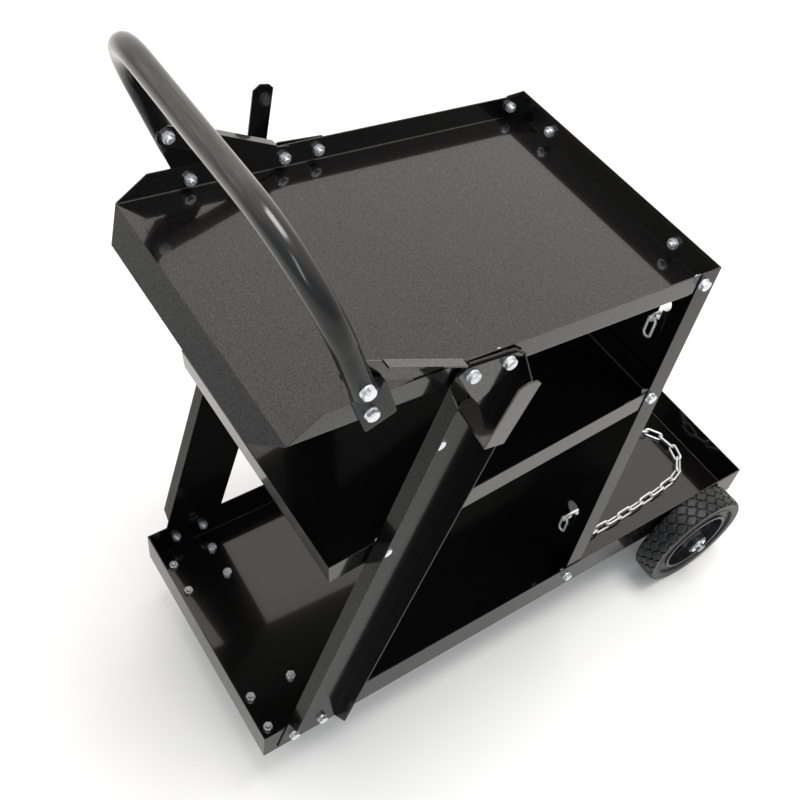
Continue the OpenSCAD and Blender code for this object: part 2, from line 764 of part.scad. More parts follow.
module caster_tyre_right() { caster_tyre(1); }
module caster_axle(s) {
    reach = fork_gap + fork_t;
    color("#b8bcc0") at_caster_wheel(s) {
        translate([0, 0, -reach]) cylinder(r = caster_axle_r, h = 2 * reach, $fn = round_fn);
        for (z = [-reach - caster_nut_h, reach]) translate([0, 0, z])
            cylinder(r = caster_nut_r, h = caster_nut_h, $fn = 6);
    }
}
module caster_axle_left() { caster_axle(-1); }
module caster_axle_right() { caster_axle(1); }
module caster_bolts() {
    color("#b8bcc0") at_caster_holes() translate([0, 0, -plate_t]) hex_bolt(plate_t + sheet_t);
}
module caster_nuts() {
    color("#a9adb2") at_caster_holes() translate([0, 0, sheet_t]) hex_nut();
}

// One link lies along its own X, flat in XY
module link() {
    for (s = [0, 1]) mirror([s, 0, 0]) translate([link_half, 0, 0]) rotate([0, 0, -90])
        rotate_extrude(angle = 180, $fn = link_fn)
            translate([link_arc, 0]) circle(link_d / 2, $fn = coarse_fn);
    for (s = [-1, 1]) translate([-link_half, s * link_arc, 0]) rotate([0, 90, 0])
        cylinder(r = link_d / 2, h = 2 * link_half, $fn = coarse_fn);
}
// A link at c that points along a heading and a climb, rolled about itself
module link_at(c, heading, climb, roll) {
    translate(c) rotate([0, -climb, heading]) rotate([roll, 0, 0]) link();
}
function aim(h, c) = [cos(c) * cos(h), cos(c) * sin(h), sin(c)];
// Centres of links that follow one another with the given aims
function centres(start, aims, i = 0, acc = []) = i == len(aims) ? acc :
    centres(start, aims, i + 1, concat(acc, [i == 0 ? start :
        acc[i - 1] + pitch / 2 * (aim(aims[i - 1][0], aims[i - 1][1]) + aim(aims[i][0], aims[i][1]))]));
function hook_point(x, z) = [x, through_y + link_half, z - hang_down - link_arc];
// The link through a keyhole's slot, and the one that hangs from it in front
module key_links(x, z) {
    link_at([x, through_y, z - hang_down], 90, 0, 90);
    link_at([x, through_y - link_half, z - hang_down - link_arc - seat - link_half], 0, 90, 90);
}

// Upper chain: it hangs behind the panel in one even curve between its keyholes
upper_n = 15;
function droop(i, edge) = -edge * (1 - 2 * i / (upper_n - 1));
function half_span(edge, i = 0) = i == upper_n ? 0 :
    (i == 0 || i == upper_n - 1 ? seat + link_half + pitch / 2 : pitch) * cos(droop(i, edge)) / 2
        + half_span(edge, i + 1);
function find_edge(lo, hi, n) = n == 0 ? (lo + hi) / 2 :
    half_span((lo + hi) / 2) > key_x ? find_edge((lo + hi) / 2, hi, n - 1)
        : find_edge(lo, (lo + hi) / 2, n - 1);
upper_edge = find_edge(0, 140, 30);
upper_aims = [for (i = [0:upper_n - 1]) [0, droop(i, upper_edge)]];
module chain_upper() {
    start = hook_point(-key_x, key_high_z) + (seat + link_half) * aim(0, -upper_edge);
    at = centres(start, upper_aims);
    color("#c9ccd0") cart() {
        for (s = [-1, 1]) key_links(s * key_x, key_high_z);
        for (i = [0:upper_n - 1]) link_at(at[i], 0, upper_aims[i][1], i % 2 == 0 ? 90 : 0);
    }
}

// Lower chain: from the right keyhole down to the platform, round in a loose loop
// The falling links level out by these shares of the steepest climb, down to the floor
drop_shares = [1, 1, 0.84, 0.56, 0.28];
function drop_climb(share, f) = -min(90, 90 * share * f);
function sum(v, i = 0) = i == len(v) ? 0 : v[i] + sum(v, i + 1);
function drop_fall(f) = -pitch * (sum([for (s = drop_shares) sin(drop_climb(s, f))])
    - sin(drop_climb(drop_shares[0], f)) / 2);
lower_start = hook_point(key_x, key_low_z) + [0, 0, -seat - link_half];
lying_roll = 45;
lying_z = sheet_t + link_d / 2 + link_arc * sin(lying_roll) + lying_gap;
function find_drop(lo, hi, n) = n == 0 ? (lo + hi) / 2 :
    drop_fall((lo + hi) / 2) < lower_start[2] - lying_z ? find_drop((lo + hi) / 2, hi, n - 1)
        : find_drop(lo, (lo + hi) / 2, n - 1);
drop_f = find_drop(0.5, 1.5, 30);
// Each entry is a heading and a climb in degrees
drop = [for (s = drop_shares) [90, drop_climb(s, drop_f)]];
run_back = [for (i = [0:7]) [90 + i, 0]];
loop_turn = [for (i = [0:5]) [110 + 26 * i, 0]];
run_home = [[262, 0], [276, 0], [284, 0], [276, 0], [262, 0]];
lower_aims = concat(drop, run_back, loop_turn, run_home);
module chain_lower() {
    at = centres(lower_start, lower_aims);
    color("#c9ccd0") cart() {
        key_links(key_x, key_low_z);
        for (i = [0:len(lower_aims) - 1])
            link_at(at[i], lower_aims[i][0], lower_aims[i][1],
                90 * (i % 2) + lying_roll * min(1, max(0, (i - 2) / 3)));
    }
}

bottom_tray();
rear_panel();
middle_shelf();
top_tray();
leg_left();
leg_right();
handle_tube();
strut_left();
strut_right();
cable_hook_left();
cable_hook_right();
leg_bolts();
leg_nuts();
leg_spacers();
panel_bolts();
panel_nuts();
handle_bolts();
handle_nuts();
caster_bolts();
caster_nuts();
axle_rod();
axle_bracket_left();
axle_bracket_right();
axle_washers();
split_pins();
wheel_hub_left();
wheel_hub_right();
wheel_tyre_left();
wheel_tyre_right();
caster_plate_left();
caster_plate_right();
caster_kingpin_left();
caster_kingpin_right();
caster_fork_left();
caster_fork_right();
caster_core_left();
caster_core_right();
caster_tyre_left();
caster_tyre_right();
caster_axle_left();
caster_axle_right();
chain_upper();
chain_lower();
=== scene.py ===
"""Welding cart: finishes and fine pieces round the fixed frame.

The file is laid out as an add-on, one operator for each group of pieces, and is run as a script.
All lengths inside the mesh functions are metres, in the frame's own axes: X across the cart,
Y from the handle to the cylinder platform and Z up, with the floor at zero.
"""
import math

import bmesh
import bpy
import numpy as np
from bpy.props import (FloatProperty, FloatVectorProperty, IntProperty, PointerProperty,
                       StringProperty)
from mathutils import Matrix, Vector


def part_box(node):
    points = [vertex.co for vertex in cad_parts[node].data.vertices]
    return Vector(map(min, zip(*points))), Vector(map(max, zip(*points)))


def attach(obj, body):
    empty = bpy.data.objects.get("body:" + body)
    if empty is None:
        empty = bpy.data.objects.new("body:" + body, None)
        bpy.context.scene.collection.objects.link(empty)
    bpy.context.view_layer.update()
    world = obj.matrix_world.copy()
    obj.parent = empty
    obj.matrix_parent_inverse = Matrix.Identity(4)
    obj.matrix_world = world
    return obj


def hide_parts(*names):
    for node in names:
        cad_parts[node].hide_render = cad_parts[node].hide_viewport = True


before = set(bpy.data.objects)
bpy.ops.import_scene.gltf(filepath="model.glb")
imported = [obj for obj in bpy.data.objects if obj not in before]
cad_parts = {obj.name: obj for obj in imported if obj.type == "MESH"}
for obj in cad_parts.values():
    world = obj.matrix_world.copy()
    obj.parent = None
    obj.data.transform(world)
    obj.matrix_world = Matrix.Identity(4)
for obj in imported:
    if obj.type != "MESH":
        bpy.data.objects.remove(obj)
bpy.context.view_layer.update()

bl_info = {
    "name": "Welding cart",
    "version": (1, 0, 0),
    "blender": (4, 5, 0),
    "location": "View3D > Sidebar > Welding cart",
    "description": "Builds the finishes and fine pieces of a sheet steel welding cart",
    "category": "Object",
}

MM = 0.001
SIDES = ("left", "right")
FRAME_PX = 800


# ---------------------------------------------------------------- colours and node helper

def linear(code):
    """An sRGB hex code such as #1A1B1D as linear red, green, blue and alpha."""
    shares = [int(code[i:i + 2], 16) / 255 for i in (1, 3, 5)]
    return tuple(c / 12.92 if c <= 0.04045 else ((c + 0.055) / 1.055) ** 2.4
                 for c in shares) + (1.0,)


def feed(tree, node, inputs):
    """Feeds a node's inputs, by name or number. A socket, or another node's first output, is
    linked; a number or colour is set on the input itself."""
    for key, value in inputs.items():
        if isinstance(value, bpy.types.Node):
            value = value.outputs[0]
        if isinstance(value, bpy.types.NodeSocket):
            tree.links.new(value, node.inputs[key])
        else:
            node.inputs[key].default_value = value


def add(tree, kind, inputs=None, stops=(), **settings):
    """Adds a node with its inputs fed and its own settings. stops are the (place, colour) pairs
    of a colour ramp."""
    made = tree.nodes.new(kind)
    for key, value in settings.items():
        setattr(made, key, value)
    for number, (place, colour) in enumerate(stops):
        made.color_ramp.elements[number].position = place
        made.color_ramp.elements[number].color = colour
    feed(tree, made, inputs or {})
    return made


def new_material(name):
    """An empty node material with its output and a Principled shader, and its object coordinates
    in millimetres."""
    material = bpy.data.materials.new(name)
    material.use_nodes = True
    tree = material.node_tree
    tree.nodes.clear()
    shader = add(tree, "ShaderNodeBsdfPrincipled")
    add(tree, "ShaderNodeOutputMaterial", {"Surface": shader})
    coords = add(tree, "ShaderNodeTexCoord")
    mm = add(tree, "ShaderNodeVectorMath", {0: coords.outputs["Object"], "Scale": 1 / MM},
             operation="SCALE")
    return material, tree, shader, mm


# ---------------------------------------------------------------- materials
#
# Noise scales are in cells per millimetre, so a Scale of 0.5 gives a grain of about 2 mm.

def powder_coat(name, colour, speck, gloss, lying, upright, peel_mm=1.6, edge_mm=0.9):
    """Black polyester powder coat, sprayed dry and baked on sheet steel, built thicker on lying
    faces than on upright ones. The eye sees a deep gloss with a soft orange-peel ripple, a faint
    brown-grey speckle that carries into the reflections, and a thin bright line at each edge."""
    material, tree, shader, mm = new_material(name)
    # the flecks are about 1.1 mm across, coarser than the real ones, so that they show
    fleck = add(tree, "ShaderNodeTexNoise",
                {"Vector": mm, "Scale": 0.9, "Detail": 3.0, "Roughness": 0.75})
    tint = add(tree, "ShaderNodeValToRGB", {0: fleck},
               stops=((0.45, linear(colour)), (0.75, linear(speck))))
    # the gloss varies in clouds about 80 mm across
    cloud = add(tree, "ShaderNodeTexNoise", {"Vector": mm, "Scale": 0.012, "Detail": 2.0})
    dull = add(tree, "ShaderNodeMapRange",
               {0: cloud, "To Min": gloss - 0.03, "To Max": gloss + 0.05})
    # thickness of the coat: from upright to lying as a face's normal turns up, and gritty
    face = add(tree, "ShaderNodeNewGeometry")
    height = add(tree, "ShaderNodeSeparateXYZ", {0: face.outputs["True Normal"]})
    lie = add(tree, "ShaderNodeMapRange",
              {0: height.outputs["Z"], "From Min": 0.3, "From Max": 0.9,
               "To Min": upright, "To Max": lying})
    grit = add(tree, "ShaderNodeTexNoise",
               {"Vector": mm, "Scale": 0.8, "Detail": 2.0, "Roughness": 0.8})
    grain = add(tree, "ShaderNodeMapRange", {0: grit, "To Min": -0.2, "To Max": 2.2})
    build = add(tree, "ShaderNodeMath", {0: lie, 1: grain}, operation="MULTIPLY", use_clamp=True)
    body = add(tree, "ShaderNodeMath", {0: build, 1: 0.5}, operation="MULTIPLY")
    edge = add(tree, "ShaderNodeBevel", {"Radius": edge_mm * MM}, samples=6)
    peel = add(tree, "ShaderNodeTexNoise", {"Vector": mm, "Scale": 1 / peel_mm, "Detail": 1.5})
    bump = add(tree, "ShaderNodeBump",
               {"Height": peel, "Normal": edge, "Strength": 0.05, "Distance": 0.1 * MM})
    feed(tree, shader, {"Base Color": tint, "Roughness": dull, "IOR": 1.5, "Normal": bump,
                        "Specular IOR Level": body, "Coat Weight": build, "Coat IOR": 1.75,
                        "Coat Roughness": 0.05})
    return material


def tube_paint(name, colour, drag, gloss, foot_mm=120.0, grip_mm=260.0, run_mm=654.0, grain_mm=2.2):
    """Satin black enamel over drawn steel tube. The eye sees broad soft highlights, and brown-grey
    streaks that run with the tube, which are a painted reflection put into the enamel's colour.
    The painted streaks and the shine fade from the grip (grip_mm from either end) to the feet
    (foot_mm), which stay deep black as painted shade."""
    material, tree, shader, mm = new_material(name)
    along = add(tree, "ShaderNodeUVMap", uv_map="along")
    # long cells: 50 mm along the tube and grain_mm round it
    slide = add(tree, "ShaderNodeMapping",
                {"Vector": along, "Scale": (0.02 / MM, 1 / (grain_mm * MM), 1.0)})
    streak_noise = add(tree, "ShaderNodeTexNoise",
                {"Vector": slide, "Scale": 1.0, "Detail": 4.0, "Roughness": 0.65})
    # how far a point is from the grip's middle, as a factor of 0 at the feet and 1 at the grip
    place = add(tree, "ShaderNodeSeparateXYZ", {0: along})
    off = add(tree, "ShaderNodeMath", {0: place.outputs["X"], 1: run_mm / 2 * MM},
              operation="SUBTRACT")
    far = add(tree, "ShaderNodeMath", {0: off}, operation="ABSOLUTE")
    grip_share = add(tree, "ShaderNodeMapRange",
               {0: far, "From Min": (run_mm / 2 - foot_mm) * MM,
                "From Max": (run_mm / 2 - grip_mm) * MM})
    # painted reflection: brown-grey streaks towards the grip, fading to plain black as painted
    # shade towards the feet
    streak_share = add(tree, "ShaderNodeMath", {0: streak_noise, 1: grip_share}, operation="MULTIPLY")
    tint = add(tree, "ShaderNodeValToRGB", {0: streak_share},
               stops=((0.4, linear(colour)), (0.72, linear(drag))))
    dull = add(tree, "ShaderNodeMapRange",
               {0: streak_noise, "To Min": gloss - 0.06, "To Max": gloss + 0.1})
    shine = add(tree, "ShaderNodeMapRange", {0: grip_share, "To Min": 0.12, "To Max": 0.6})
    peel = add(tree, "ShaderNodeTexNoise", {"Vector": mm, "Scale": 0.5, "Detail": 2.0})
    bump = add(tree, "ShaderNodeBump", {"Height": peel, "Strength": 0.08, "Distance": 0.1 * MM})
    feed(tree, shader, {"Base Color": tint, "Roughness": dull, "IOR": 1.5, "Normal": bump,
                        "Specular IOR Level": shine, "Coat Weight": shine,
                        "Coat Roughness": 0.12})
    return material


def zinc_plate(name, colour, dull, gloss, edge_mm=0.35):
    """Bright zinc plate over cold-headed steel, clear passivated. The eye sees a white-blue metal
    with cloudy patches about 3 mm across, tiny pits and rounded bright corners."""
    material, tree, shader, mm = new_material(name)
    cloud = add(tree, "ShaderNodeTexNoise",
                {"Vector": mm, "Scale": 0.35, "Detail": 3.0, "Roughness": 0.6})
    tint = add(tree, "ShaderNodeValToRGB", {0: cloud},
               stops=((0.35, linear(colour)), (0.7, linear(dull))))
    rough = add(tree, "ShaderNodeMapRange",
                {0: cloud, "To Min": gloss - 0.06, "To Max": gloss + 0.12})
    edge = add(tree, "ShaderNodeBevel", {"Radius": edge_mm * MM}, samples=4)
    pits = add(tree, "ShaderNodeTexNoise", {"Vector": mm, "Scale": 2.0, "Detail": 2.0})
    bump = add(tree, "ShaderNodeBump",
               {"Height": pits, "Normal": edge, "Strength": 0.12, "Distance": 0.05 * MM})
    feed(tree, shader, {"Base Color": tint, "Roughness": rough, "Metallic": 0.72, "Normal": bump})
    return material


def bright_bar(name, colour, dull, gloss, line_mm=0.4, run_mm=50.0):
    """Cold-drawn steel bar, left bare. The eye sees fine drawing lines along the bar."""
    material, tree, shader, mm = new_material(name)
    slide = add(tree, "ShaderNodeMapping",
                {"Vector": mm, "Scale": (1 / run_mm, 1 / line_mm, 1 / line_mm)})
    lines = add(tree, "ShaderNodeTexNoise", {"Vector": slide, "Scale": 1.0, "Detail": 3.0})
    tint = add(tree, "ShaderNodeValToRGB", {0: lines},
               stops=((0.3, linear(colour)), (0.7, linear(dull))))
    rough = add(tree, "ShaderNodeMapRange",
                {0: lines, "To Min": gloss - 0.08, "To Max": gloss + 0.1})
    feed(tree, shader, {"Base Color": tint, "Roughness": rough, "Metallic": 1.0})
    return material


def moulded_rubber(name, colour, dust, rough, grain_mm=0.9):
    """Vulcanised black rubber from a blasted mould. The eye sees a satin skin with fine grain
    and a little grey bloom in patches of about 12 mm."""
    material, tree, shader, mm = new_material(name)
    bloom = add(tree, "ShaderNodeTexNoise",
                {"Vector": mm, "Scale": 0.08, "Detail": 5.0, "Roughness": 0.7})
    tint = add(tree, "ShaderNodeValToRGB", {0: bloom},
               stops=((0.4, linear(colour)), (0.75, linear(dust))))
    dull = add(tree, "ShaderNodeMapRange",
               {0: bloom, "To Min": rough - 0.08, "To Max": rough + 0.1})
    grain = add(tree, "ShaderNodeTexNoise", {"Vector": mm, "Scale": 1 / grain_mm, "Detail": 3.0})
    bump = add(tree, "ShaderNodeBump", {"Height": grain, "Strength": 0.25, "Distance": 0.15 * MM})
    feed(tree, shader, {"Base Color": tint, "Roughness": dull, "IOR": 1.52, "Normal": bump})
    return material


def moulded_plastic(name, colour, scuff, rough, grain_mm=0.7, edge_mm=0.8):
    """Injection-moulded black polypropylene. The eye sees a satin skin with a fine spark-eroded
    grain, soft corners and faint scuffs about 20 mm long."""
    material, tree, shader, mm = new_material(name)
    wear = add(tree, "ShaderNodeTexNoise", {"Vector": mm, "Scale": 0.05, "Detail": 4.0})
    tint = add(tree, "ShaderNodeValToRGB", {0: wear},
               stops=((0.45, linear(colour)), (0.8, linear(scuff))))
    dull = add(tree, "ShaderNodeMapRange",
               {0: wear, "To Min": rough - 0.05, "To Max": rough + 0.12})
    edge = add(tree, "ShaderNodeBevel", {"Radius": edge_mm * MM}, samples=6)
    grain = add(tree, "ShaderNodeTexNoise", {"Vector": mm, "Scale": 1 / grain_mm, "Detail": 2.0})
    bump = add(tree, "ShaderNodeBump",
               {"Height": grain, "Normal": edge, "Strength": 0.12, "Distance": 0.1 * MM})
    feed(tree, shader, {"Base Color": tint, "Roughness": dull, "IOR": 1.49, "Normal": bump})
    return material


def studio_paper(name, colour):
    """Seamless background paper, uncoated. The eye sees an even matt white."""
    material, tree, shader, mm = new_material(name)
    white = linear(colour)
    shade = tuple(c * 0.985 for c in white[:3]) + (1.0,)
    fibre = add(tree, "ShaderNodeTexNoise", {"Vector": mm, "Scale": 0.01, "Detail": 2.0})
    tint = add(tree, "ShaderNodeValToRGB", {0: fibre}, stops=((0.3, white), (0.7, shade)))
    feed(tree, shader, {"Base Color": tint, "Roughness": 0.9, "Specular IOR Level": 0.1})
    return material


# ---------------------------------------------------------------- mesh helpers

def quads_over(points, close_u=False, close_v=False):
    """The vertices and quads of an (m, n, 3) grid of points. A closed direction joins its last
    row to its first."""
    index = np.arange(points.shape[0] * points.shape[1]).reshape(points.shape[:2])
    if close_u:
        index = np.vstack([index, index[:1]])
    if close_v:
        index = np.hstack([index, index[:, :1]])
    quads = np.stack([index[:-1, :-1], index[1:, :-1], index[1:, 1:], index[:-1, 1:]], axis=-1)
    return points.reshape(-1, 3), quads.reshape(-1, 4)


def make_piece(name, parts, material, smooth=40.0, along=None):
    """One object out of several (vertices, quads) pairs, its doubles merged and its normals
    turned outwards. along holds a UV pair for each vertex where a finish follows the surface."""
    starts = np.cumsum([0] + [len(v) for v, q in parts])
    points = np.vstack([v for v, q in parts])
    quads = np.vstack([q + s for (v, q), s in zip(parts, starts)])
    mesh = bpy.data.meshes.new(name)
    mesh.from_pydata(points.tolist(), [], quads.tolist())
    if along is not None:
        layer = mesh.uv_layers.new(name="along")
        corner = np.empty(len(mesh.loops), dtype=np.int32)
        mesh.loops.foreach_get("vertex_index", corner)
        layer.data.foreach_set("uv", along[corner].ravel().astype(np.float32))
    tidy = bmesh.new()
    tidy.from_mesh(mesh)
    bmesh.ops.remove_doubles(tidy, verts=tidy.verts, dist=0.002 * MM)
    bmesh.ops.dissolve_degenerate(tidy, edges=tidy.edges, dist=0.001 * MM)
    bmesh.ops.recalc_face_normals(tidy, faces=tidy.faces)
    tidy.to_mesh(mesh)
    tidy.free()
    mesh.polygons.foreach_set("use_smooth", np.ones(len(mesh.polygons), dtype=bool))
    mesh.set_sharp_from_angle(angle=math.radians(smooth))
    mesh.materials.append(material)
    made = bpy.data.objects.new(name, mesh)
    bpy.context.scene.collection.objects.link(made)
    return made


def dress(material, *nodes):
    """Gives CAD nodes a finish, in place of the plain one that they came with."""
    for name in nodes:
        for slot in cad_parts[name].material_slots:
            slot.material = material


def closed(points):
    """A grid of turned profiles, each joined from its last point to its first."""
    return np.concatenate([points, points[:, :1]], axis=1)


def turned(profile, count):
    """A profile of (radius, height) pairs turned about its own height axis: point (i, j) is
    profile point j at angle 2 pi i / count."""
    angle = np.linspace(0, 2 * np.pi, count, endpoint=False)[:, None]
    radius, height = profile[:, 0][None, :], profile[:, 1][None, :]
    return np.stack([radius * np.cos(angle), radius * np.sin(angle), height + 0 * angle], axis=-1)


def stand(points, seat, axis):
    """Turns points that stand on Z so that Z runs along axis, and puts them on their seat. The
    turn's rows are a side square to the axis, the cross product of axis and side, and the axis."""
    axis = np.asarray(axis, float) / np.linalg.norm(axis)
    side = np.cross(axis, [0, 0, 1.0] if abs(axis[2]) < 0.9 else [1.0, 0, 0])
    side /= np.linalg.norm(side)
    basis = np.stack([side, np.cross(axis, side), axis])
    return points @ basis + np.asarray(seat)


# ---------------------------------------------------------------- sizes and colours

class SheetFinish(bpy.types.PropertyGroup):
    """Colours and gloss of the painted sheet and tube."""
    sheet: StringProperty(name="Sheet colour",
                          description="Colour of the powder coat, as an sRGB hex code",
                          default="#050506")
    speck: StringProperty(name="Speck colour",
                          description="Colour of the powder coat's fine specks", default="#1E1B19")
    tube: StringProperty(name="Tube colour", description="Colour of the handle's enamel",
                         default="#121213")
    # colour of the painted reflection streaks along the handle
    drag: StringProperty(name="Painted reflection streak colour", description="Colour of the handle's painted reflection streaks",
                         default="#4A4038")
    gloss: FloatProperty(name="Sheet roughness", description="Roughness of the powder coat",
                         default=0.16, min=0.02, max=1.0, subtype="FACTOR")


class FastenerSizes(bpy.types.PropertyGroup):
    """Sizes of the hexagon bolts and nuts, in millimetres as on their drawing."""
    across: FloatProperty(name="Across flats",
                          description="Width across the hexagon's flats, in millimetres",
                          default=10.0, min=5.0)
    head: FloatProperty(name="Head height", description="Height of the bolt's head, in millimetres",
                        default=4.0, min=1.0)
    washer: FloatProperty(name="Washer diameter",
                          description="Outside diameter of the washer, in millimetres",
                          default=12.0, min=6.0)
    washer_t: FloatProperty(name="Washer thickness",
                            description="Thickness of the washer, in millimetres",
                            default=1.6, min=0.5)
    thread: FloatProperty(name="Thread diameter",
                          description="Outside diameter of the thread, in millimetres",
                          default=6.0, min=2.0)
    pitch: FloatProperty(name="Thread pitch",
                         description="Distance from one crest to the next, in millimetres",
                         default=1.0, min=0.3)


class HandleSizes(bpy.types.PropertyGroup):
    """Sizes of the bent handle tube."""
    tube_r: FloatProperty(name="Tube radius", description="Outside radius of the tube",
                          default=10 * MM, unit="LENGTH")
    bend: FloatProperty(name="Bend radius", description="Radius of the bends at the tube's middle",
                        default=80 * MM, unit="LENGTH")
    reach: FloatProperty(name="Reach", description="From the foot bolt to the grip's middle",
                         default=183 * MM, unit="LENGTH")
    lean: FloatProperty(name="Lean", description="How far the handle leans forward",
                        default=math.radians(20), subtype="ANGLE")
    foot_half: FloatProperty(name="Foot half width", description="Half of the pressed foot's width",
                             default=15 * MM, unit="LENGTH")
    foot_shift: FloatProperty(name="Foot shift",
                              description="How far the pressed foot lies behind the tube",
                              default=5 * MM, unit="LENGTH")
    foot_t: FloatProperty(name="Foot thickness", description="Thickness of the pressed foot",
                          default=3.5 * MM, unit="LENGTH")
    foot_up: FloatProperty(name="Foot above bolt",
                           description="Length of the pressed foot above its bolt",
                           default=24 * MM, unit="LENGTH")
    foot_down: FloatProperty(name="Foot below bolt",
                             description="Length of the pressed foot below its bolt",
                             default=22 * MM, unit="LENGTH")
    crimp: FloatProperty(name="Crimp length", description="Length over which the tube goes flat",
                         default=20 * MM, unit="LENGTH")


class TyreSizes(bpy.types.PropertyGroup):
    """Sizes of the rear tyres' sides and tread."""
    cells: IntProperty(name="Blocks round", description="Tread blocks round the tyre in each row",
                       default=28, min=8)
    rows: IntProperty(name="Rows", description="Rows of tread blocks across the tyre",
                      default=3, min=1)
    groove: FloatProperty(name="Groove depth", description="Depth of the grooves",
                          default=2.4 * MM, unit="LENGTH")
    groove_w: FloatProperty(name="Groove width", description="Width of the grooves",
                            default=1.5 * MM, unit="LENGTH")
    wall: FloatProperty(name="Side wall", description="Width of the side wall outside its bead",
                        default=15 * MM, unit="LENGTH")
    dish: FloatProperty(name="Side dish", description="How deep the side is dished inside the bead",
                        default=4 * MM, unit="LENGTH")
    shoulder: FloatProperty(name="Shoulder",
                            description="How far the tread falls away at the shoulder",
                            default=2.6 * MM, unit="LENGTH")


class MetalFinish(bpy.types.PropertyGroup):
    """Colours of the plated and the bare steel."""
    zinc: StringProperty(name="Zinc colour", description="Colour of fresh zinc plate",
                         default="#F4F6FA")
    zinc_dull: StringProperty(name="Dull zinc colour",
                              description="Colour of the zinc's cloudy patches", default="#CFD3DA")
    chain: StringProperty(name="Chain colour", description="Colour of the chain's zinc plate",
                          default="#FFFFFF")
    chain_dull: StringProperty(name="Dull chain colour",
                               description="Colour of the chain's cloudy patches",
                               default="#EEF0F2")
    bar: StringProperty(name="Bar colour", description="Colour of the drawn axle bar",
                        default="#A4A7AA")
    bar_dull: StringProperty(name="Bar line colour",
                             description="Colour of the bar's drawing lines", default="#7E8184")


class MouldedFinish(bpy.types.PropertyGroup):
    """Colours of the rubber and plastic of the wheels and casters."""
    rubber: StringProperty(name="Rubber colour", description="Colour of the rear tyres",
                           default="#0F1012")
    bloom: StringProperty(name="Bloom colour", description="Colour of the rear tyres' grey bloom",
                          default="#212224")
    hub: StringProperty(name="Hub colour", description="Colour of the moulded hubs",
                        default="#141518")
    hub_scuff: StringProperty(name="Hub scuff colour", description="Colour of the hubs' scuffs",
                              default="#2C2D31")
    core: StringProperty(name="Caster core colour",
                         description="Colour of the casters' moulded cores", default="#303236")
    core_scuff: StringProperty(name="Caster scuff colour",
                               description="Colour of the cores' scuffs", default="#45474B")
    band: StringProperty(name="Caster tyre colour", description="Colour of the casters' tyres",
                         default="#1C1C1D")
    band_bloom: StringProperty(name="Caster bloom colour",
                               description="Colour of the caster tyres' bloom", default="#333335")


class StageSizes(bpy.types.PropertyGroup):
    """The studio: floor, camera and lights."""
    paper: StringProperty(name="Paper colour", description="Colour of the background paper",
                          default="#FAFAFA")
    paper_half: FloatProperty(name="Paper half width", description="Half of the paper's width",
                              default=9.0, unit="LENGTH")
    eye: FloatVectorProperty(name="Camera place", description="Where the camera stands",
                             default=(0.52648, -0.60267, 1.27253), subtype="XYZ", unit="LENGTH")
    look: FloatVectorProperty(name="Camera direction", description="Where the camera looks",
                              default=(-0.4804452, 0.4248785, -0.7672357), subtype="XYZ")
    up: FloatVectorProperty(name="Camera up", description="What the camera holds upright",
                            default=(-0.6850596, 0.364413, 0.6307903), subtype="XYZ")
    focal: FloatProperty(name="Focal length",
                         description="Focal length in pixels of an 800 pixel frame", default=1036.8)
    centre: FloatVectorProperty(name="Lens centre",
                                description="Pixel on the lens axis, from the top left",
                                default=(400.0, 403.4), size=2)
    key: FloatProperty(name="Key light", description="Power of the box overhead",
                       default=95.0, subtype="POWER")
    key_place: FloatVectorProperty(name="Key place", description="Where the box overhead hangs",
                                   default=(0.2, 0.15, 4.5), subtype="XYZ", unit="LENGTH")
    key_side: FloatProperty(name="Key side", description="Side of the square box overhead",
                            default=1.8, unit="LENGTH")
    strip: FloatProperty(name="Strip light", description="Power of the narrow cool box",
                         default=6.0, subtype="POWER")
    strip_place: FloatVectorProperty(name="Strip place", description="Where the narrow box stands",
                                     default=(1.5, -1.3, 1.9), subtype="XYZ", unit="LENGTH")
    strip_size: FloatVectorProperty(name="Strip size",
                                    description="Width and height of the narrow box",
                                    default=(0.25, 1.0), size=2, unit="LENGTH")
    room: FloatProperty(name="Room light", description="Strength of the room's own light",
                        default=1.0)
    wall: FloatVectorProperty(name="Bright wall",
                              description="Towards the bright wall that the shelves mirror",
                              default=(-0.48, 0.42, 0.77), subtype="XYZ")
    wall_colour: StringProperty(name="Bright wall colour", description="Colour of the bright wall",
                                default="#FFFBF5")
    dim: FloatProperty(name="Dim side",
                       description="Brightness of the room away from the bright wall", default=0.5)


def sizes(group):
    """The sizes of one group, as held by the scene."""
    return getattr(bpy.context.scene, "cart_" + group)


# ---------------------------------------------------------------- pieces

def ring_round(amount, count=48):
    """A section between a circle and a rounded bar: |x|^p + |y|^p = 1, with p rising from 2 to 9
    as amount goes from 0 to 1."""
    power = 2 / (2 + 7 * amount)
    angle = np.linspace(0, 2 * np.pi, count, endpoint=False)
    c, s = np.cos(angle), np.sin(angle)
    return np.stack([np.sign(c) * np.abs(c) ** power, np.sign(s) * np.abs(s) ** power], axis=-1)


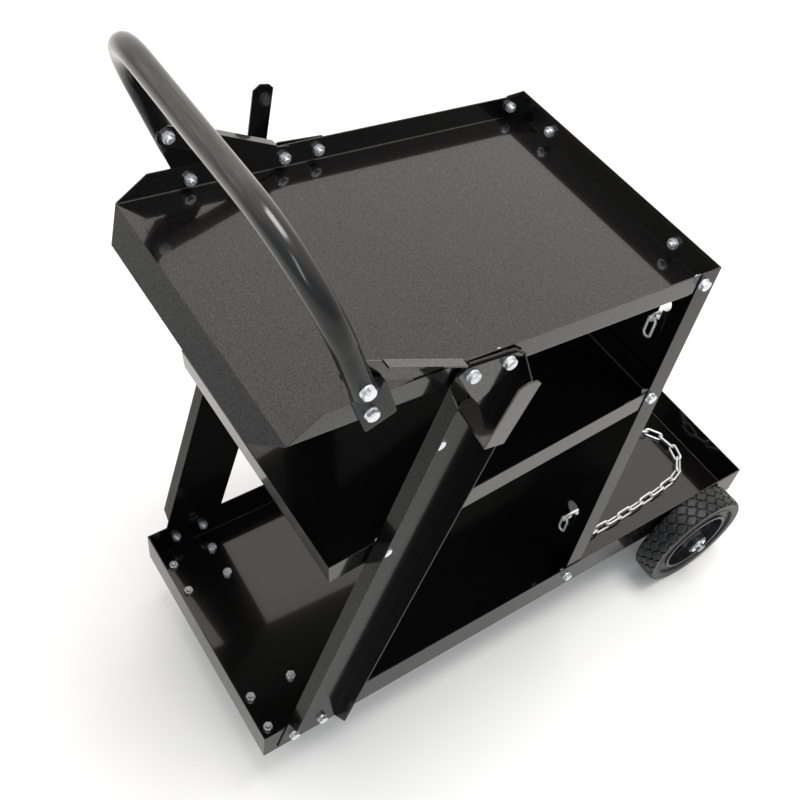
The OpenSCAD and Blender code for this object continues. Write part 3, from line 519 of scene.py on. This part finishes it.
def handle_surface(z, bolt, tube_x, flat_x):
    """The handle: rings carried along a path in a plane that leans forward. The path runs up one
    leg, round a quarter circle, across the grip and back down. w is its height in that plane above
    the foot's bolt, and tilt the angle it has turned through. Near each foot the ring goes from a
    circle to a flat bar over the crimp by a smooth step, 3 t^2 - 2 t^3. Returns the points and
    each one's (length along the tube, length round it)."""
    straight = z.reach - z.bend
    # the foot's end is rounded: its first rings lie lip above the end and are drawn in by lip_in
    lip = np.array([0.0, 0.4, 1.2, 3.0]) * MM
    lip_in = np.array([1.2, 0.6, 0.2, 0.0]) * MM
    foot = np.linspace(-z.foot_down + 2 * lip[-1], z.foot_up, 8)[:-1]
    rise = np.concatenate([-z.foot_down + lip, foot, z.foot_up + np.linspace(0, z.crimp, 16)])
    up = np.linspace(z.foot_up + z.crimp, straight, 6)[1:]
    turn = np.linspace(0, np.pi / 2, 25)[1:]
    half = np.linspace(tube_x - z.bend, 0, 12)[1:]
    leg = np.concatenate([rise, up])
    x = np.concatenate([np.full_like(leg, tube_x), tube_x - z.bend + z.bend * np.cos(turn), half])
    w = np.concatenate([leg, straight + z.bend * np.sin(turn), np.full_like(half, z.reach)])
    tilt = np.concatenate([np.zeros_like(leg), turn, np.full_like(half, np.pi / 2)])
    inset = np.zeros_like(w)
    inset[:len(lip)] = lip_in
    step = np.clip((z.foot_up + z.crimp - w) / z.crimp, 0, 1)
    flat = np.where(tilt > 0, 0, step * step * (3 - 2 * step))
    rings = np.stack([ring_round(a) for a in flat])
    thick = z.tube_r + (z.foot_t / 2 - z.tube_r) * flat
    wide = z.tube_r + (z.foot_half - z.tube_r) * flat - inset
    centre_x = x + (flat_x - tube_x) * flat
    out = rings[:, :, 0] * (thick - inset * 0.3)[:, None]
    across = rings[:, :, 1] * wide[:, None] + (z.foot_shift * flat)[:, None]
    px = centre_x[:, None] + out * np.cos(tilt)[:, None]
    pw = w[:, None] + out * np.sin(tilt)[:, None]
    right = np.stack([px, across, pw], axis=-1)
    loop = np.vstack([right, right[:-1][::-1] * [-1, 1, 1]])
    lean_y = loop[..., 1] * math.cos(z.lean) - loop[..., 2] * math.sin(z.lean)
    lean_z = loop[..., 1] * math.sin(z.lean) + loop[..., 2] * math.cos(z.lean)
    placed = np.stack([loop[..., 0], lean_y + bolt[0], lean_z + bolt[1]], axis=-1)
    steps = np.linalg.norm(np.diff(placed.mean(axis=1), axis=0), axis=1)
    length = np.concatenate([[0], np.cumsum(steps)])
    girth = np.linspace(0, 1, placed.shape[1], endpoint=False) * 2 * np.pi * z.tube_r
    along = np.stack(np.broadcast_arrays(length[:, None], girth[None, :]), axis=-1)
    return placed, along


class CART_OT_handle(bpy.types.Operator):
    """Builds the bent handle with its pressed feet"""
    bl_idname = "cart.handle"
    bl_label = "Push handle"

    def execute(self, context):
        z, look = sizes("handle"), sizes("sheet")
        low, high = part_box("handle_tube")
        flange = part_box("top_tray")[1][0]
        tube_x = high[0] - z.tube_r
        foot_z = high[2] - z.tube_r - z.reach * math.cos(z.lean)
        foot_y = low[1] + z.tube_r + z.reach * math.sin(z.lean)
        points, along = handle_surface(z, (foot_y, foot_z), tube_x, flange + z.foot_t / 2)
        caps = []
        for end in (points[0], points[-1]):
            middle = end.mean(axis=0)
            disc = np.stack([middle + (end - middle) * share for share in (1.0, 0.6, 0.25, 0.0)])
            caps.append(quads_over(disc, close_v=True))
        flats = np.zeros((sum(len(v) for v, q in caps), 2))
        # the handle's enamel carries painted reflection streaks and painted shade towards the feet
        made = make_piece("handle", [quads_over(points, close_v=True)] + caps,
                          tube_paint("satin enamel on drawn tube with painted reflection streaks", look.tube, look.drag, 0.2),
                          along=np.vstack([along.reshape(-1, 2), flats]))
        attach(made, "frame")
        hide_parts("handle_tube")
        return {"FINISHED"}


def tread_surface(z, inner_r, outer_r, half_w, count=560, across=44):
    """A tyre's outside. Its profile is a side, the crown and the side mirrored. The crown falls
    away from the tread's middle as the ninth power of the distance to it. The radius of point
    (angle, x) is the profile's, less the groove depth where the point is near an edge of a
    staggered honeycomb, worked out as the difference between the distances to the two nearest
    cell centres."""
    bead = outer_r - z.wall
    # the side as (radius, depth in from the tyre's side): dished floor, bead ridge, flat wall
    side = np.array([[inner_r, z.dish], [bead - 3 * MM, z.dish], [bead - 1 * MM, z.dish + 0.4 * MM],
                     [bead - 0.4 * MM, 0.8 * MM], [bead + 0.2 * MM, 0], [bead + 1.6 * MM, 0],
                     [bead + 2.2 * MM, 0.9 * MM], [bead + 4 * MM, 0.9 * MM],
                     [outer_r - z.shoulder - 2 * MM, 0.3 * MM], [outer_r - z.shoulder, 0.3 * MM]])
    side_x = side[:, 1] - half_w
    top = np.linspace(-1, 1, across)
    crown_x = top * (half_w - 0.6 * MM)
    crown_r = outer_r - z.shoulder * 0.8 * np.abs(top) ** 9
    profile_x = np.concatenate([side_x, crown_x, -side_x[::-1]])
    profile_r = np.concatenate([side[:, 0], crown_r, side[::-1, 0]])
    angle = np.linspace(0, 2 * np.pi, count, endpoint=False)
    a, x = np.meshgrid(angle, profile_x, indexing="ij")
    cell_a = 2 * np.pi / z.cells
    cell_x = 2 * (half_w - 2.5 * MM) / z.rows
    nearest = next_one = np.full(a.shape, np.inf)
    for row in range(-1, z.rows + 1):
        row_x = (row + 0.5 - z.rows / 2) * cell_x
        shift = 0.5 * (row % 2)
        centre = (np.round(a / cell_a - shift) + shift) * cell_a
        for step in (-1, 0, 1):
            gap = np.hypot((a - centre - step * cell_a) * outer_r, (x - row_x) * 1.05)
            next_one = np.minimum(next_one, np.maximum(nearest, gap))
            nearest = np.minimum(nearest, gap)
    edge = (next_one - nearest) / 2
    cut = 1 - np.clip((edge - z.groove_w / 2) / (0.5 * MM), 0, 1)
    cut[:, :len(side)] = cut[:, -len(side):] = 0
    r = profile_r[None, :] - z.groove * cut
    return np.stack([x, r * np.cos(a), r * np.sin(a)], axis=-1)


class CART_OT_tyres(bpy.types.Operator):
    """Builds the rear tyres with their honeycomb tread"""
    bl_idname = "cart.tyres"
    bl_label = "Rear tyres"

    def execute(self, context):
        z, look = sizes("tyre"), sizes("moulded")
        rubber = moulded_rubber("vulcanised rubber", look.rubber, look.bloom, 0.46)
        for side in SIDES:
            low, high = (np.array(corner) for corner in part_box("wheel_tyre_" + side))
            half = (high - low) / 2
            hub_low, hub_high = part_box("wheel_hub_" + side)
            inner_r = (hub_high[2] - hub_low[2]) / 2
            points = tread_surface(z, inner_r, half[2], half[0]) + (low + high) / 2
            made = make_piece("tyre_" + side, [quads_over(points, close_u=True, close_v=True)],
                              rubber, smooth=50)
            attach(made, "wheel_" + side)
            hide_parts("wheel_tyre_" + side)
        return {"FINISHED"}


def hexagon(size, count=12):
    """Distance from the middle to a hexagon's edge at each of count * 6 angles, as a function of
    the angle from a flat's middle: size over its cosine."""
    angle = np.linspace(0, 2 * np.pi, 6 * count, endpoint=False)
    off = (angle + np.pi / 6) % (np.pi / 3) - np.pi / 6
    return angle, size / np.cos(off)


def hex_block(across, low, high, bore, dish):
    """A hexagon between two heights, its top corners turned off by a shallow cone, with a bore or
    a slightly dished top. Rings of points go up the outside and in to the middle."""
    angle, edge = hexagon(across / 2)
    level = np.ones_like(edge)
    cone = 0.985 * across / 2
    corner = np.clip(edge - cone, 0, None) * 0.55 + 0.08 * MM
    rim, pit = 0.8 * across / 2, 0.72 * across / 2
    rows = [(bore * level, low), (edge, low), (edge, high - corner), (np.minimum(edge, cone), high),
            (rim * level, high), (pit * level, high - dish), (bore * level, high - dish)]
    rings = [np.stack([radius * np.cos(angle), radius * np.sin(angle), height * level], axis=-1)
             for radius, height in rows]
    return np.stack(rings, axis=1)


def threaded_tip(radius, low, high, pitch, count=24):
    """A threaded rod's end: the radius falls and rises by a triangle wave whose phase follows the
    height less the turn, and shrinks by a cone over the last part of a pitch. Six rings a pitch."""
    depth, point = 0.3 * pitch, 0.6 * pitch
    height = np.append(np.arange(low, high, pitch / 6), high)
    angle = np.linspace(0, 2 * np.pi, count, endpoint=False)
    a, h = np.meshgrid(angle, height, indexing="ij")
    wave = np.abs(((h / pitch - a / (2 * np.pi)) % 1.0) * 2 - 1)
    r = np.minimum(radius - depth * wave, radius - np.clip(h - (high - point), 0, None))
    body = np.stack([r * np.cos(a), r * np.sin(a), h], axis=-1)
    flat_end = [0, 0, 1]
    return np.concatenate([body[:, :1] * flat_end, body, body[:, -1:] * flat_end], axis=1)


def washer_surface(outer, thick, bore, top):
    """A punched washer: a profile with one rounded and one sharp edge, turned."""
    soft = 0.3 * MM
    profile = np.array([[bore, top], [outer - soft, top], [outer - 0.1 * MM, top - 0.1 * MM],
                        [outer, top - soft], [outer, top - thick], [bore, top - thick]])
    return turned(profile, 40)


def seats_of(node, axis_of, reach=14 * MM, length=36 * MM, side_x=136 * MM):
    """Where a node's solids lie: its points grouped by how near they are across (reach) and along
    (length) the solids' own axis, each group as its lowest and highest corner, with its axis.
    Without an axis, a point beyond side_x belongs to a solid that lies across the cart."""
    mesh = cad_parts[node].data
    points = np.empty(3 * len(mesh.vertices))
    mesh.vertices.foreach_get("co", points)
    world = np.array(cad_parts[node].matrix_world)
    left = points.reshape(-1, 3) @ world[:3, :3].T + world[:3, 3]
    groups = []
    while len(left):
        axis = axis_of
        if axis is None:
            axis = 0 if abs(left[0][0]) > side_x else 1
        gap = np.abs(left - left[0])
        across = np.delete(gap, axis, axis=1)
        near = (np.linalg.norm(across, axis=1) < reach) & (gap[:, axis] < length)
        groups.append((left[near].min(axis=0), left[near].max(axis=0), axis))
        left = left[~near]
    return groups


def fastener(z, kind, low, high, along):
    """The surfaces of one bolt or nut in its box. A head points away from the cart's middle
    (along 0), to the rear (1) or down (2), and a nut faces the other way."""
    length = (high - low)[along]
    middle = (low + high) / 2
    axis = np.zeros(3)
    axis[along] = (math.copysign(1, middle[0]), 1.0, -1.0)[along]
    bore = z.thread / 2 * MM
    if kind == "nuts":
        axis = -axis
        shapes = [closed(hex_block(z.across * MM, 0.0, length, bore + 0.05 * MM, 0.0))]
    else:
        grip = length - z.head * MM
        tip = threaded_tip(bore, 0.0, grip, z.pitch * MM)
        tip[..., 2] = grip - tip[..., 2]
        shapes = [hex_block(z.across * MM, grip, length, 0.0, 0.25 * MM),
                  closed(washer_surface(z.washer / 2 * MM, z.washer_t * MM, bore, grip)), tip]
    return [stand(shape, middle - axis * length / 2, axis) for shape in shapes]


class CART_OT_fasteners(bpy.types.Operator):
    """Builds the hexagon bolts with washers, and the nuts"""
    bl_idname = "cart.fasteners"
    bl_label = "Bolts and nuts"

    def execute(self, context):
        z, look = sizes("fastener"), sizes("metal")
        zinc = zinc_plate("bright zinc plate", look.zinc, look.zinc_dull, 0.3)
        for group, axis_of in (("leg", 0), ("panel", None), ("handle", 0), ("caster", 2)):
            for kind in ("bolts", "nuts"):
                node = group + "_" + kind
                parts = [quads_over(points, close_u=True)
                         for low, high, axis in seats_of(node, axis_of)
                         for points in fastener(z, kind, low, high, axis)]
                made = make_piece(node + "_set", parts, zinc, smooth=35)
                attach(made, "frame")
                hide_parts(node)
        return {"FINISHED"}


class CART_OT_sheet_metal(bpy.types.Operator):
    """Finishes the trays, panel, shelf, legs, struts, hooks and axle brackets"""
    bl_idname = "cart.sheet_metal"
    bl_label = "Painted sheet"

    def execute(self, context):
        z = sizes("sheet")
        coat = (z.sheet, z.speck, z.gloss)
        dress(powder_coat("gloss powder coat on the upper pans", *coat, 0.7, 0.4),
              "middle_shelf", "top_tray")
        dress(powder_coat("gloss powder coat on the base and panel", *coat, 0.7, 0.17),
              "bottom_tray", "rear_panel")
        dress(powder_coat("gloss powder coat on legs and brackets", *coat, 0.6, 0.14, peel_mm=2.2),
              "leg_left", "leg_right", "axle_bracket_left", "axle_bracket_right")
        dress(powder_coat("gloss powder coat on straps", *coat, 0.85, 0.4, peel_mm=2.2),
              "strut_left", "strut_right", "cable_hook_left", "cable_hook_right")
        return {"FINISHED"}


class CART_OT_wheels(bpy.types.Operator):
    """Finishes the hubs, the axle and its washers and pins"""
    bl_idname = "cart.wheels"
    bl_label = "Hubs and axle"

    def execute(self, context):
        metal, moulded = sizes("metal"), sizes("moulded")
        dress(moulded_plastic("moulded hub plastic", moulded.hub, moulded.hub_scuff, 0.34),
              "wheel_hub_left", "wheel_hub_right")
        dress(bright_bar("cold-drawn axle bar", metal.bar, metal.bar_dull, 0.3), "axle_rod")
        dress(zinc_plate("zinc on washers and pins", metal.zinc, metal.zinc_dull, 0.3),
              "axle_washers", "split_pins", "leg_spacers")
        return {"FINISHED"}


class CART_OT_casters(bpy.types.Operator):
    """Finishes the swivel casters"""
    bl_idname = "cart.casters"
    bl_label = "Casters"

    def execute(self, context):
        metal, moulded = sizes("metal"), sizes("moulded")
        pressed = zinc_plate("zinc on pressed steel", metal.zinc, metal.zinc_dull, 0.34)
        core = moulded_plastic("moulded caster core", moulded.core, moulded.core_scuff, 0.4)
        band = moulded_rubber("caster rubber", moulded.band, moulded.band_bloom, 0.55)
        for side in SIDES:
            for part in ("plate", "kingpin", "fork", "axle"):
                dress(pressed, "caster_" + part + "_" + side)
            dress(core, "caster_core_" + side)
            dress(band, "caster_tyre_" + side)
        return {"FINISHED"}


class CART_OT_chains(bpy.types.Operator):
    """Finishes the two chains"""
    bl_idname = "cart.chains"
    bl_label = "Chains"

    def execute(self, context):
        metal = sizes("metal")
        dress(zinc_plate("zinc on welded chain", metal.chain, metal.chain_dull, 0.42),
              "chain_upper", "chain_lower")
        return {"FINISHED"}


def area_light(name, place, target, size, power, colour=(1, 1, 1)):
    """A soft box at a place, turned to a target, its size a width and a height."""
    data = bpy.data.lights.new(name, "AREA")
    data.shape, data.size, data.size_y = "RECTANGLE", size[0], size[1]
    data.energy, data.color = power, colour
    made = bpy.data.objects.new(name, data)
    made.location = place
    made.rotation_euler = (Vector(target) - Vector(place)).to_track_quat("-Z", "Y").to_euler()
    bpy.context.scene.collection.objects.link(made)


class CART_OT_studio(bpy.types.Operator):
    """Builds the paper floor, the lights and the camera"""
    bl_idname = "cart.studio"
    bl_label = "Studio"

    def execute(self, context):
        z = sizes("stage")
        half = z.paper_half
        corners = np.array([[-half, -half, 0], [half, -half, 0], [half, half, 0], [-half, half, 0]])
        mesh = bpy.data.meshes.new("paper_floor")
        mesh.from_pydata(corners.tolist(), [], [(0, 1, 2, 3)])
        mesh.materials.append(studio_paper("background paper", z.paper))
        floor = bpy.data.objects.new("paper_floor", mesh)
        context.scene.collection.objects.link(floor)

        area_light("top_box", z.key_place, (0, 0.1, 0), (z.key_side, z.key_side), z.key)
        area_light("handle_strip", z.strip_place, (0, -0.3, 0.7), z.strip_size, z.strip,
                   colour=(0.85, 0.93, 1.0))

        # the room: from a dim cool side to the full warm white round the bright wall's middle
        world = bpy.data.worlds.new("room")
        world.use_nodes = True
        tree = world.node_tree
        tree.nodes.clear()
        coords = add(tree, "ShaderNodeTexCoord")
        toward = add(tree, "ShaderNodeVectorMath", {0: coords.outputs["Generated"], 1: z.wall},
                     operation="DOT_PRODUCT")
        dim = (z.dim * 0.96, z.dim, z.dim * 1.05, 1.0)
        tone = add(tree, "ShaderNodeValToRGB", {0: toward.outputs["Value"]},
                   stops=((0.0, dim), (0.5, linear(z.wall_colour))))
        back = add(tree, "ShaderNodeBackground", {"Color": tone, "Strength": z.room})
        add(tree, "ShaderNodeOutputWorld", {"Surface": back})
        context.scene.world = world
        context.scene.view_settings.view_transform = "Standard"

        lens = bpy.data.cameras.new("camera")
        lens.sensor_width = 36.0
        lens.lens = z.focal / FRAME_PX * lens.sensor_width
        lens.shift_x = (FRAME_PX / 2 - z.centre[0]) / FRAME_PX
        lens.shift_y = (z.centre[1] - FRAME_PX / 2) / FRAME_PX
        camera = bpy.data.objects.new("camera", lens)
        look = Vector(z.look).normalized()
        right = look.cross(Vector(z.up)).normalized()
        up = right.cross(look)
        turn = Matrix((right, up, -look)).transposed()
        camera.matrix_world = Matrix.Translation(Vector(z.eye)) @ turn.to_4x4()
        context.scene.collection.objects.link(camera)
        context.scene.camera = camera
        return {"FINISHED"}


class CART_PT_panel(bpy.types.Panel):
    """Lists the steps and their sizes"""
    bl_idname = "CART_PT_panel"
    bl_label = "Welding cart"
    bl_space_type = "VIEW_3D"
    bl_region_type = "UI"
    bl_category = "Welding cart"

    def draw(self, context):
        for group in GROUPS:
            box = self.layout.box()
            values = sizes(group)
            for key in values.__annotations__:
                box.prop(values, key)
        for step in STEPS:
            self.layout.operator(step.bl_idname)


GROUPS = {"sheet": SheetFinish, "fastener": FastenerSizes, "handle": HandleSizes,
          "tyre": TyreSizes, "metal": MetalFinish, "moulded": MouldedFinish, "stage": StageSizes}
STEPS = (CART_OT_studio, CART_OT_sheet_metal, CART_OT_handle, CART_OT_fasteners, CART_OT_tyres,
         CART_OT_wheels, CART_OT_casters, CART_OT_chains)


def register():
    """Registers the groups, the steps and the panel."""
    for name, group in GROUPS.items():
        bpy.utils.register_class(group)
        setattr(bpy.types.Scene, "cart_" + name, PointerProperty(type=group))
    for step in STEPS + (CART_PT_panel,):
        bpy.utils.register_class(step)


def unregister():
    """Takes back what register did."""
    for step in (CART_PT_panel,) + STEPS[::-1]:
        bpy.utils.unregister_class(step)
    for name, group in GROUPS.items():
        delattr(bpy.types.Scene, "cart_" + name)
        bpy.utils.unregister_class(group)


def main():
    """Runs every step in order."""
    register()
    for step in STEPS:
        group, name = step.bl_idname.split(".")
        getattr(getattr(bpy.ops, group), name)()


if __name__ == "__main__":
    main()
